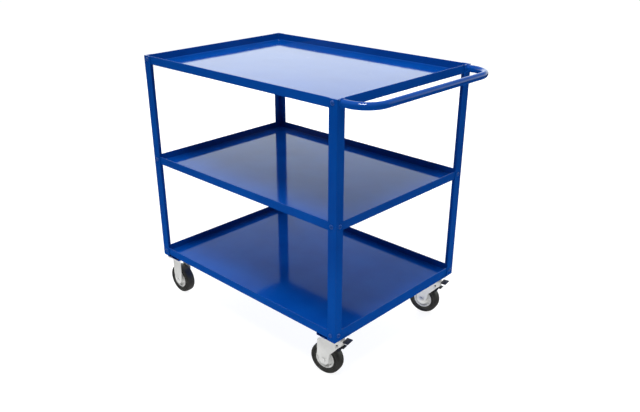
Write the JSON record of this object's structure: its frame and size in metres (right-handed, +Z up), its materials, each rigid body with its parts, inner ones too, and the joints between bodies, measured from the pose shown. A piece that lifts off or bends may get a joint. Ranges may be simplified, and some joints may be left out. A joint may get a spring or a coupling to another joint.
{
  "type": "tool cart",
  "caption": "Tool cart: stacked lipped sheet-steel trays bolted into angle-iron corner posts, a bent tube push handle at one end, fixed casters ahead and swivel casters under the handle.",
  "frame": {"origin": "ground level, in the middle of the whole footprint, handle and front wheels included", "axes": "+Z up, X along the cart with +X towards the push handle, Y across it"},
  "size_m": [1.1304, 0.7172, 1.03],
  "materials": {
    "blue_coating": "glossy",
    "zinc_plate": "satin",
    "bolt_heads": "satin",
    "brake_paint": "satin",
    "bearing_steel": "polished",
    "wheel_core": "satin",
    "bearing_cage": "matte",
    "seal": "matte",
    "tyre": "matte"
  },
  "bodies": {
    "frame": {"axle_bolts_front": "zinc_plate", "axle_nuts_front": "zinc_plate", "axle_sleeves_front": "zinc_plate", "caster_bolts_front": "zinc_plate", "caster_bolts_rear": "zinc_plate", "caster_channel_front": "blue_coating", "caster_channel_rear": "blue_coating", "fixed_bracket_front_left": "zinc_plate", "fixed_bracket_front_right": "zinc_plate", "handle_tube": "blue_coating", "kingpin_nut_rear_left": "zinc_plate", "kingpin_nut_rear_right": "zinc_plate", "kingpin_rear_left": "zinc_plate", "kingpin_rear_right": "zinc_plate", "lower_race_rear_left": "zinc_plate", "lower_race_rear_right": "zinc_plate", "post_front_left": "blue_coating", "post_front_right": "blue_coating", "post_rear_left": "blue_coating", "post_rear_right": "blue_coating", "shelf_bolts_bottom": "bolt_heads", "shelf_bolts_middle": "bolt_heads", "shelf_bolts_top": "bolt_heads", "swivel_seal_rear_left": "seal", "swivel_seal_rear_right": "seal", "top_plate_rear_left": "zinc_plate", "top_plate_rear_right": "zinc_plate", "tray_floor_bottom": "blue_coating", "tray_floor_middle": "blue_coating", "tray_floor_top": "blue_coating", "tray_rim_bottom": "blue_coating", "tray_rim_middle": "blue_coating", "tray_rim_top": "blue_coating", "weld_nuts_front": "zinc_plate", "weld_nuts_rear": "zinc_plate"},
    "swivel_left": {"axle_bolt_rear_left": "zinc_plate", "axle_nut_rear_left": "zinc_plate", "axle_sleeve_rear_left": "zinc_plate", "swivel_balls_rear_left": "bearing_steel", "swivel_fork_rear_left": "zinc_plate"},
    "swivel_right": {"axle_bolt_rear_right": "zinc_plate", "axle_nut_rear_right": "zinc_plate", "axle_sleeve_rear_right": "zinc_plate", "swivel_balls_rear_right": "bearing_steel", "swivel_fork_rear_right": "zinc_plate"},
    "wheel_front_left": {"roller_cage_front_left": "bearing_cage", "tyre_front_left": "tyre", "wheel_core_front_left": "wheel_core"},
    "wheel_front_right": {"roller_cage_front_right": "bearing_cage", "tyre_front_right": "tyre", "wheel_core_front_right": "wheel_core"},
    "wheel_rear_left": {"roller_cage_rear_left": "bearing_cage", "tyre_rear_left": "tyre", "wheel_core_rear_left": "wheel_core"},
    "wheel_rear_right": {"roller_cage_rear_right": "bearing_cage", "tyre_rear_right": "tyre", "wheel_core_rear_right": "wheel_core"},
    "brake_left": {"brake_pedal_rear_left": "brake_paint"},
    "brake_right": {"brake_pedal_rear_right": "brake_paint"}
  },
  "joints": [
    {"name": "swivel_left", "type": "hinge", "parent": "frame", "child": "swivel_left", "pos_m": [0.39725, -0.297, 0.15], "axis": [0, 0, 1], "continuous": true},
    {"name": "wheel_rear_left_spin", "type": "hinge", "parent": "swivel_left", "child": "wheel_rear_left", "pos_m": [0.36574, -0.30256, 0.0625], "axis": [-0.1736, 0.9848, 0], "continuous": true},
    {"name": "wheel_front_left_spin", "type": "hinge", "parent": "frame", "child": "wheel_front_left", "pos_m": [-0.50275, -0.304, 0.0625], "axis": [0, 1, 0], "continuous": true},
    {"name": "brake_left_press", "type": "hinge", "parent": "swivel_left", "child": "brake_left", "pos_m": [0.41892, -0.29318, 0.142], "axis": [-0.1736, 0.9848, 0], "range_deg": [0, 7]},
    {"name": "swivel_right", "type": "hinge", "parent": "frame", "child": "swivel_right", "pos_m": [0.39725, 0.297, 0.15], "axis": [0, 0, 1], "continuous": true},
    {"name": "wheel_rear_right_spin", "type": "hinge", "parent": "swivel_right", "child": "wheel_rear_right", "pos_m": [0.36574, 0.29144, 0.0625], "axis": [-0.1736, 0.9848, 0], "continuous": true},
    {"name": "wheel_front_right_spin", "type": "hinge", "parent": "frame", "child": "wheel_front_right", "pos_m": [-0.50275, 0.304, 0.0625], "axis": [0, 1, 0], "continuous": true},
    {"name": "brake_right_press", "type": "hinge", "parent": "swivel_right", "child": "brake_right", "pos_m": [0.41892, 0.30082, 0.142], "axis": [-0.1736, 0.9848, 0], "range_deg": [0, 7]}
  ]
}
